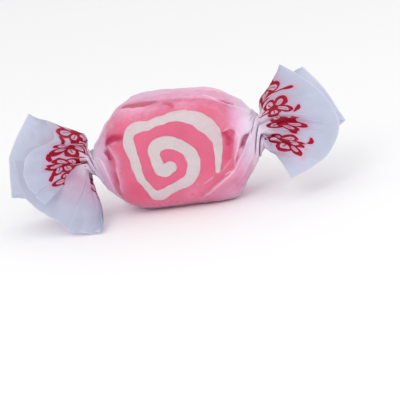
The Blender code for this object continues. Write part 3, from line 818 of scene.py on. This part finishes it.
def end_relief(end, t, folds):
    """An end with its creases and pleats pressed in, and how creased and lit it is."""
    out = t[:, None] * (abs(end[-1, :, 0] - end[0, :, 0]) + END_LEAVE)
    around = 0 * out + share
    relief = ROUGH_CREASE[1] * np.abs(uneven(end, ROUGH_CREASE[0]))
    relief += FINE_CREASE[1] * np.abs(uneven(end + FINE_NOISE, FINE_CREASE[0]))
    relief *= smoothstep(0.0, CREASES_FULL, t)[:, None]
    fading = (smoothstep(0.0, END_PLEATS_FULL, t) * (1 - t) ** END_PLEATS_FADE)[:, None]
    for i, (depth, count) in enumerate(zip(END_PLEAT_DEPTHS, (BROAD_PLEATS, NARROW_PLEATS))):
        relief += depth * fading * (pleats(around, count, SEED + i) - 0.5)
    creased_and_lit = 0 * out
    for stretch, left_width, right_width, whitened_and_lit in folds:
        away, side, height = nearest_on(out, around, stretch, SHEET_WIDTH)
        fold = height * np.exp(-((away / between(side, left_width, right_width)) ** 2))
        relief += fold * smoothstep(0.0, FOLDS_FULL, t)[:, None]
        creased_and_lit = np.maximum(creased_and_lit, whitened_and_lit * np.exp(-((away / (2 * CREASE_WIDTH)) ** 2)))
    length = np.linalg.norm(end[-1] - end[0], axis=1)
    # As on the body, the gather's whitening is partly a painted highlight on the shaded neck.
    whitened_and_lit = GATHER_WHITENED_AND_LIT[2] * smoothstep(GATHER_OPENS, 0.0, t)
    creased_and_lit = np.maximum(creased_and_lit, whitened_and_lit[:, None])
    at_edge = smoothstep(CUT_EDGE[0], 0.0, (1 - t)[:, None] * length)
    creased_and_lit = np.maximum(creased_and_lit, CUT_EDGE[1] * at_edge)
    return end + sheet_normals(end) * relief[..., None], creased_and_lit


left_end, left_crease_and_lit = end_relief(left_end, left_t, LEFT_END_FOLDS)
right_end, right_crease_and_lit = end_relief(right_end, right_t, RIGHT_END_FOLDS)
points = np.concatenate([left_end[::-1], body, right_end])
points[..., 2] = np.maximum(points[..., 2], LOWEST)
creases_and_lit = np.concatenate([left_crease_and_lit[::-1], body_crease_and_lit, right_crease_and_lit])
damp_and_shade = np.concatenate([0 * left_crease_and_lit, body_damp_and_shade, 0 * right_crease_and_lit])


def from_candy(points):
    """How far each place is from the candy."""
    away = [candy_surface.find_nearest(Vector(place) * MM)[3] for place in points.reshape(-1, 3)]
    return np.array(away).reshape(points.shape[:2]) / MM


# The map holds this many millimetres of the flat sheet, and its middle and one edge lie there on it.
MAP_SIZE = 100.0
MAP_START = (0.5, 0.05)


def sheet_mesh(name, points, measures, along, share):
    """The grid of points as a mesh, with its measures and with its flat place on the sheet as its map."""
    rows, columns = points.shape[:2]
    bm = bmesh.new()
    bmesh.ops.create_grid(bm, x_segments=rows - 1, y_segments=columns - 1, size=0.5)
    bm.verts.ensure_lookup_table()
    row = np.array([round((vert.co.x + 0.5) * (rows - 1)) for vert in bm.verts])
    column = np.array([round((vert.co.y + 0.5) * (columns - 1)) for vert in bm.verts])
    made = mesh_in_scene(name, bm)
    mesh = made.data
    places = points[row, column] * MM
    mesh.vertices.foreach_set("co", places.astype(np.float32).ravel())
    for measure, values in measures.items():
        attribute = mesh.attributes.new(measure, "FLOAT", "POINT")
        attribute.data.foreach_set("value", values[row, column].astype(np.float32))
    flat = np.stack([along[row, column], share[column] * SHEET_WIDTH], -1) / MAP_SIZE + MAP_START
    corner = np.empty(len(mesh.loops), int)
    mesh.loops.foreach_get("vertex_index", corner)
    sheet_map = mesh.uv_layers.new(name="sheet")
    sheet_map.data.foreach_set("uv", flat[corner].astype(np.float32).ravel())
    mesh.update()
    mesh.shade_smooth()
    return made


def along_sheet(points):
    """How far along the sheet each place is, measured from the middle of the body."""
    length = np.linalg.norm(np.diff(points, axis=0), axis=2)
    travelled = np.concatenate([np.zeros((1, points.shape[1])), np.cumsum(length, axis=0)])
    along = travelled - travelled[LEFT_END_ROWS : LEFT_END_ROWS + 1]
    body_length = along[LEFT_END_ROWS + BODY_ROWS : LEFT_END_ROWS + BODY_ROWS + 1]
    first = slice(LEFT_END_ROWS, LEFT_END_ROWS + BODY_ROWS + 1)
    out = along.copy() + LEFT_GATHER[0]
    out[first] = body_x[:, None]
    out[LEFT_END_ROWS + BODY_ROWS :] = along[LEFT_END_ROWS + BODY_ROWS :] - body_length + RIGHT_NECK[0]
    return out


measures = {"stand_off": from_candy(points), "creased_and_lit": creases_and_lit, "damp_and_shade": damp_and_shade}
wrapper = sheet_mesh("wrapper_sheet", points, measures, along_sheet(points), share)


# The paper's colour by how far it is from the candy: millimetres and colour. Far off it is the paper's own
# colour. Nearer, its pink is painted light that the candy casts back into it, and the paler middle tones
# are painted light on the shaded shoulders.
# Painted pink light, the glow of the candy and the print through the paper, starts near each neck, is
# strongest and ends at these X, and is so strong. The veils are how much of the candy each state of the
# paper hides.
PAPER_AND_CANDY_LIGHT_TONES = [
    (0.1, (0.96, 0.44, 0.64)), (0.5, (0.95, 0.50, 0.73)), (1.2, (0.82, 0.57, 0.76)),
    (3.0, (0.64, 0.56, 0.75)), (6.0, (0.55, 0.585, 0.72)),
]
FARTHEST_TONE = 6.0
PINK_LIGHT_THROUGH = (0.74, 0.34, 0.50)
LEFT_NECK_PINK_LIGHT = (-29.0, -21.0, -17.5, 0.55)
RIGHT_NECK_PINK_LIGHT = (18.5, 20.5, 28.0, 0.25)
# The print on the layers behind, painted as soft patches of its pink light through the fans.
GHOST_SHARE = 0.35
GHOST_SCALE = 0.33
GHOST_PATCHES = (0.5, 0.66)
GHOST_START = (18.0, 20.0)
GHOST_END = (19.0, 30.0)
# Damp paper's deeper pink, used also as painted shade in pockets, valleys and the turned-away side.
DAMP_AND_SHADE = (0.52, 0.035, 0.115)
DAMP_AND_SHADE_VEIL = 0.5
# Creased wax's white, used also as a painted highlight on crests, glints and the shaded necks.
WHITENED_AND_LIT = (0.97, 0.86, 0.96)
INK = (0.37, 0.0, 0.024)
CLINGING_VEIL = 0.06
STANDING_VEIL = 0.86
STANDING_REACH = 0.30
CREASE_VEIL = 0.75
OPEN_VEIL = 0.96
OPEN_REACH = (0.5, 2.5)

# What noise or the distance is turned into: from the first two numbers to the last two.
PATCHES = (0.3, 0.7, 0.75, 1.3)
CLOUDS = (0.35, 0.65, 0.94, 1.03)
LIGHT_THROUGH = (2.0, 6.0, 0.1, 0.4)

# The print: flowers drawn with a brush. Each is placed by how far out from the neck its middle is and how
# far round the sheet, then has its reach in millimetres, its petals and its turn in degrees. Leaves have
# their place, half their length, half their width and their turn.
LEFT_FLOWERS = [
    (4.6, 0.035, 3.9, 5, 20), (4.6, 0.132, 4.2, 6, 50), (4.4, 0.235, 4.2, 5, 80), (5.4, 0.333, 3.9, 6, 35),
    (4.6, 0.440, 4.0, 5, 10), (4.6, 0.545, 4.2, 6, 60), (4.8, 0.650, 4.0, 5, 0), (3.6, 0.757, 3.2, 6, 35),
]
LEFT_LEAVES = [
    (8.3, 0.083, 1.7, 0.65, 70), (8.0, 0.186, 1.7, 0.65, 110), (8.6, 0.285, 1.5, 0.6, 70),
    (1.4, 0.083, 1.5, 0.6, 20), (1.3, 0.184, 1.5, 0.6, -10), (1.4, 0.284, 1.5, 0.6, 15),
    (1.2, 0.705, 1.3, 0.5, 10), (7.6, 0.702, 1.3, 0.5, 80),
]
RIGHT_FLOWERS = [
    (5.4, 0.128, 4.0, 6, 15), (5.4, 0.236, 4.1, 5, 70), (3.6, 0.338, 3.3, 5, 40), (5.4, 0.440, 3.9, 6, 5),
    (5.0, 0.535, 4.3, 5, 55), (5.4, 0.640, 4.3, 6, 25), (5.2, 0.745, 4.2, 5, 10), (5.4, 0.850, 4.3, 6, 60),
]
RIGHT_LEAVES = [
    (10.0, 0.165, 1.5, 0.55, 80), (7.8, 0.318, 1.3, 0.5, 60), (8.2, 0.392, 1.3, 0.5, 120),
    (1.8, 0.490, 1.2, 0.45, 10),
]
PETAL_MIDDLE = 0.60
PETAL_LENGTH = 0.40
PETAL_WIDTH = 0.29
FLOWER_HEART = 0.15
STROKE = 0.20
STROKE_SWELL = 0.20
VEIN = 0.028
VEIN_LENGTH = (0.25, 0.72)
INK_EDGE = 0.03
INK_HALO = (0.9, 0.62)
PRINT_START = 0.8
WANDER = 1.6
WANDER_SCALE = 0.32

paper = bpy.data.materials.new("waxed_paper")
paper.use_nodes = True


def maths(operation, first, second=0.0, third=0.0):
    return add_node(paper, "Math", {0: first, 1: second, 2: third}, operation=operation).outputs[0]


def placed(flat, out_x, around, turn, scale):
    """The sheet's own place, measured from a motif's middle in its own size and turn."""
    return add_node(paper, "Mapping", {
        "Vector": flat,
        "Location": (out_x, around * SHEET_WIDTH, 0.0),
        "Rotation": (0.0, 0.0, math.radians(turn)),
        "Scale": (*scale, 1.0),
    }, vector_type="TEXTURE").outputs[0]


def length_of(vector):
    return add_node(paper, "VectorMath", {0: vector}, operation="LENGTH").outputs["Value"]


def flower_ink(unit, petals):
    """How deep inside a flower's brush strokes a place is: outlined petals round a solid heart."""
    parts = add_node(paper, "SeparateXYZ", {0: unit}).outputs
    out = length_of(unit)
    turn = maths("ARCTAN2", parts["Y"], parts["X"])
    from_petal = maths("PINGPONG", turn, math.pi / petals)
    along = maths("MULTIPLY", out, maths("COSINE", from_petal))
    across = maths("MULTIPLY", out, maths("SINE", from_petal))
    petal = add_node(paper, "CombineXYZ", {
        "X": maths("MULTIPLY_ADD", along, 1 / PETAL_LENGTH, -PETAL_MIDDLE / PETAL_LENGTH),
        "Y": maths("MULTIPLY", across, 1 / PETAL_WIDTH),
    }).outputs[0]
    off = maths("ABSOLUTE", maths("SUBTRACT", length_of(petal), 1.0))
    stroke = maths("MULTIPLY_ADD", along, STROKE_SWELL, STROKE)
    outline = maths("SUBTRACT", stroke, off)
    heart = maths("MULTIPLY_ADD", out, -1 / FLOWER_HEART, 1.0)
    vein_start, vein_end = VEIN_LENGTH
    from_start = maths("SUBTRACT", along, vein_start)
    from_end = maths("SUBTRACT", vein_end, along)
    in_length = maths("MINIMUM", from_start, from_end)
    vein = maths("MINIMUM", maths("SUBTRACT", VEIN, across), in_length)
    drawn = maths("MULTIPLY", vein, 1 / PETAL_WIDTH)
    return maths("MAXIMUM", maths("MAXIMUM", outline, heart), drawn)


def printed(flat, outward, neck_x, flowers, leaves):
    """How deep inside the print's strokes a place is; below 0 it is outside them."""
    inside = []
    for out, around, reach, petals, turn in flowers:
        unit = placed(flat, neck_x + outward * out, around, turn, (reach, reach))
        inside.append(flower_ink(unit, petals))
    for out, around, half_length, half_width, turn in leaves:
        unit = placed(flat, neck_x + outward * out, around, turn, (half_length, half_width))
        inside.append(maths("SUBTRACT", 1.0, length_of(unit)))
    deepest = inside[0]
    for depth in inside[1:]:
        deepest = maths("MAXIMUM", deepest, depth)
    return deepest


def ramp(value, low, high, first, last, **settings):
    """The value from low to high turned into first to last."""
    return add_node(paper, "MapRange", {0: value, 1: low, 2: high, 3: first, 4: last}, **settings).outputs[0]


def mixed(share, first, second):
    """A colour between two, each a named colour or a socket."""
    colours = [side if isinstance(side, bpy.types.NodeSocket) else (*side, 1.0) for side in (first, second)]
    return add_node(paper, "MixRGB", {0: share, 1: colours[0], 2: colours[1]}).outputs[0]


tree = paper.node_tree
shader = tree.nodes["Principled BSDF"]
place = add_node(paper, "TexCoord").outputs["Object"]
flat = add_node(paper, "Mapping", {
    "Vector": add_node(paper, "UVMap", uv_map="sheet").outputs[0],
    "Location": (-MAP_SIZE * MAP_START[0], -MAP_SIZE * MAP_START[1], 0.0),
    "Scale": (MAP_SIZE, MAP_SIZE, 1.0),
}).outputs[0]
wander = add_node(paper, "TexNoise", {"Vector": flat, "Scale": WANDER_SCALE, "Detail": 1.0}).outputs["Color"]
drawn_on = add_node(paper, "VectorMath", {
    0: wander, 1: (WANDER, WANDER, 0.0), 2: flat
}, operation="MULTIPLY_ADD").outputs[0]
left_ink = printed(drawn_on, -1.0, LEFT_GATHER[0] + PRINT_START, LEFT_FLOWERS, LEFT_LEAVES)
right_ink = printed(drawn_on, 1.0, RIGHT_NECK[0] + PRINT_START, RIGHT_FLOWERS, RIGHT_LEAVES)
in_ink = maths("MAXIMUM", left_ink, right_ink)
ink = ramp(in_ink, -INK_EDGE, INK_EDGE, 0.0, 1.0)
# Painted pink light through the paper: round the print, near each neck and in soft patches over the fans.
halo = ramp(in_ink, -INK_HALO[0], 0.0, 0.0, INK_HALO[1])
along_x = add_node(paper, "SeparateXYZ", {0: flat}).outputs["X"]
pink_light_through = halo
for start, most, end, neck_share in (LEFT_NECK_PINK_LIGHT, RIGHT_NECK_PINK_LIGHT):
    rising = ramp(along_x, start, most, 0.0, neck_share)
    falling = ramp(along_x, most, end, neck_share, 0.0)
    pink_light_through = maths("MAXIMUM", pink_light_through, maths("MINIMUM", rising, falling))
ghost = add_node(paper, "TexNoise", {"Vector": flat, "Scale": GHOST_SCALE, "Detail": 2.0}).outputs[0]
from_middle = maths("ABSOLUTE", along_x)
near_end = ramp(from_middle, *GHOST_START, 0.0, 1.0)
far_end = ramp(from_middle, *GHOST_END, 1.0, 0.0)
on_fan = maths("MINIMUM", near_end, far_end)
ghosted = maths("MULTIPLY", ramp(ghost, *GHOST_PATCHES, 0.0, GHOST_SHARE), on_fan)
pink_light_through = maths("MAXIMUM", pink_light_through, ghosted)

stand_off, creased_and_lit, damp_and_shade_share = (
    add_node(paper, "Attribute", attribute_name=measure, attribute_type="GEOMETRY").outputs["Fac"]
    for measure in measures
)
mottle = add_node(paper, "TexNoise", {"Vector": place, "Scale": 700.0, "Detail": 4.0, "Roughness": 0.6})
patchy = ramp(mottle.outputs[0], *PATCHES)
fall = maths("MULTIPLY", maths("MULTIPLY", stand_off, patchy), -1.0 / STANDING_REACH)
body_veil = ramp(maths("EXPONENT", fall), 0.0, 1.0, STANDING_VEIL, CLINGING_VEIL)
openness = ramp(stand_off, *OPEN_REACH, 0.0, 1.0, interpolation_type="SMOOTHSTEP")
veil = add_node(paper, "MapRange", {0: openness, 3: body_veil, 4: OPEN_VEIL}).outputs[0]
damp_and_shade_spots = maths("MINIMUM", maths("MULTIPLY", damp_and_shade_share, patchy), 1.0)
damp_and_shade_veil = maths("MULTIPLY", damp_and_shade_spots, DAMP_AND_SHADE_VEIL)
crease_veil = maths("MULTIPLY", creased_and_lit, CREASE_VEIL)
hidden = veil
for other in (damp_and_shade_veil, crease_veil, ink):
    hidden = maths("MAXIMUM", hidden, other)

# Painted pink light from the candy in the paper near it; far off, the paper's own colour.
tones_and_candy_light = add_node(paper, "ValToRGB", {0: maths("DIVIDE", stand_off, FARTHEST_TONE)})
tones_and_candy_light.color_ramp.elements.remove(tones_and_candy_light.color_ramp.elements[1])
for i, (distance, tone) in enumerate(PAPER_AND_CANDY_LIGHT_TONES):
    mark = tones_and_candy_light.color_ramp.elements[0] if i == 0 else tones_and_candy_light.color_ramp.elements.new(distance / FARTHEST_TONE)
    mark.position = distance / FARTHEST_TONE
    mark.color = (*tone, 1.0)
cloud = add_node(paper, "TexNoise", {"Vector": place, "Scale": 120.0, "Detail": 3.0}).outputs[0]
clouded = ramp(cloud, *CLOUDS)
toned_and_candy_light = add_node(paper, "VectorMath", {0: tones_and_candy_light.outputs[0], "Scale": clouded}, operation="SCALE").outputs[0]
with_pink_light_through = mixed(pink_light_through, toned_and_candy_light, PINK_LIGHT_THROUGH)
# Damp spots, with painted shade among them.
damp_and_shaded = mixed(damp_and_shade_spots, with_pink_light_through, DAMP_AND_SHADE)
# Whitened creases, with painted highlights among them.
whitened_and_lit = mixed(creased_and_lit, damp_and_shaded, WHITENED_AND_LIT)
colour = mixed(ink, whitened_and_lit, INK)
fibres = add_node(paper, "TexNoise", {"Vector": place, "Scale": 1800.0, "Detail": 4.0, "Roughness": 0.75})
bump = add_node(paper, "Bump", {"Height": fibres.outputs[0], "Strength": 0.4, "Distance": 0.00008})
tree.links.new(colour, shader.inputs["Base Color"])
tree.links.new(bump.outputs[0], shader.inputs["Normal"])
shader.inputs["Roughness"].default_value = 0.42
shader.inputs["Specular IOR Level"].default_value = 0.3
through = add_node(paper, "BsdfTranslucent", {"Color": colour, "Normal": bump.outputs[0]})
passing = ramp(stand_off, *LIGHT_THROUGH)
body_of_paper = add_node(paper, "MixShader", {0: passing, 1: shader.outputs[0], 2: through.outputs[0]})
clear_part = add_node(paper, "BsdfTransparent")
seen = add_node(paper, "MixShader", {0: hidden, 1: clear_part.outputs[0], 2: body_of_paper.outputs[0]})
tree.links.new(seen.outputs[0], tree.nodes["Material Output"].inputs["Surface"])
wrapper.data.materials.append(paper)
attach(wrapper, "root")
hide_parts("wrapper")

# Table. A plain pale top with a matt finish, wide enough to fill the picture. The sweet lies on it
# loose, on the small flat spot that its own weight has pressed into its underside.

TABLE_SIDE = 3.0
TABLE_COLOUR = (0.93, 0.93, 0.94)

bm = bmesh.new()
bmesh.ops.create_grid(bm, x_segments=1, y_segments=1, size=TABLE_SIDE / 2)
table = mesh_in_scene("table", bm)
table_look = bpy.data.materials.new("table")
table_look.use_nodes = True
table_shader = table_look.node_tree.nodes["Principled BSDF"]
table_shader.inputs["Base Color"].default_value = (*TABLE_COLOUR, 1.0)
table_shader.inputs["Roughness"].default_value = 0.7
table.data.materials.append(table_look)

# Light. One soft box above and in front to the left, and a larger one low in front to the right, which
# fills its shadows. A bright white room lights the rest. Each box has its place, its side and its power.

ROOM = 0.92
SOFT_BOXES = [
    ("key", (-0.15, -0.45, 0.38), 0.30, 0.8),
    ("fill", (0.42, -0.38, 0.12), 0.40, 0.8),
]
world = bpy.data.worlds.new("room")
world.use_nodes = True
world.node_tree.nodes["Background"].inputs["Color"].default_value = (1.0, 1.0, 1.0, 1.0)
world.node_tree.nodes["Background"].inputs["Strength"].default_value = ROOM
bpy.context.scene.world = world
sweet_middle = Vector((0.0, 0.0, 0.011))
for name, place, side, power in SOFT_BOXES:
    light = bpy.data.lights.new(name, "AREA")
    light.size = side
    light.energy = power
    box = put_in_scene(name, light)
    box.location = place
    box.rotation_euler = (Vector(place) - sweet_middle).to_track_quat("Z", "Y").to_euler()

# Camera. It looks down a little from the front and right, and is held slightly turned, as the photograph
# was taken, with the sweet in the upper part of the picture.

ELEVATION = math.radians(16)
AZIMUTH = math.radians(8)
ROLL = math.radians(10)
DISTANCE = 300.0
PIXELS_PER_MM = 5.0
PICTURE_MIDDLE = 200.0
SWEET_PIXEL = (175.0, 150.0)
SWEET_POINT = Vector((0.0, 0.0, 10.8))

back = Vector((
    math.sin(AZIMUTH) * math.cos(ELEVATION), -math.cos(AZIMUTH) * math.cos(ELEVATION), math.sin(ELEVATION)
))
level = Vector((math.cos(AZIMUTH), math.sin(AZIMUTH), 0.0))
upright = back.cross(level)
right = level * math.cos(ROLL) - upright * math.sin(ROLL)
up = level * math.sin(ROLL) + upright * math.cos(ROLL)
aim = SWEET_POINT + right * ((PICTURE_MIDDLE - SWEET_PIXEL[0]) / PIXELS_PER_MM)
aim += up * ((SWEET_PIXEL[1] - PICTURE_MIDDLE) / PIXELS_PER_MM)
lens = bpy.data.cameras.new("camera")
lens.sensor_width = 36.0
lens.lens = lens.sensor_width * DISTANCE / (2 * PICTURE_MIDDLE / PIXELS_PER_MM)
lens.clip_start = 0.01
camera = put_in_scene("camera", lens)
turned = Matrix((right, up, back)).transposed().to_4x4()
camera.matrix_world = Matrix.Translation((aim + back * DISTANCE) * MM) @ turned
bpy.context.scene.camera = camera
bpy.context.scene.view_settings.view_transform = "Standard"
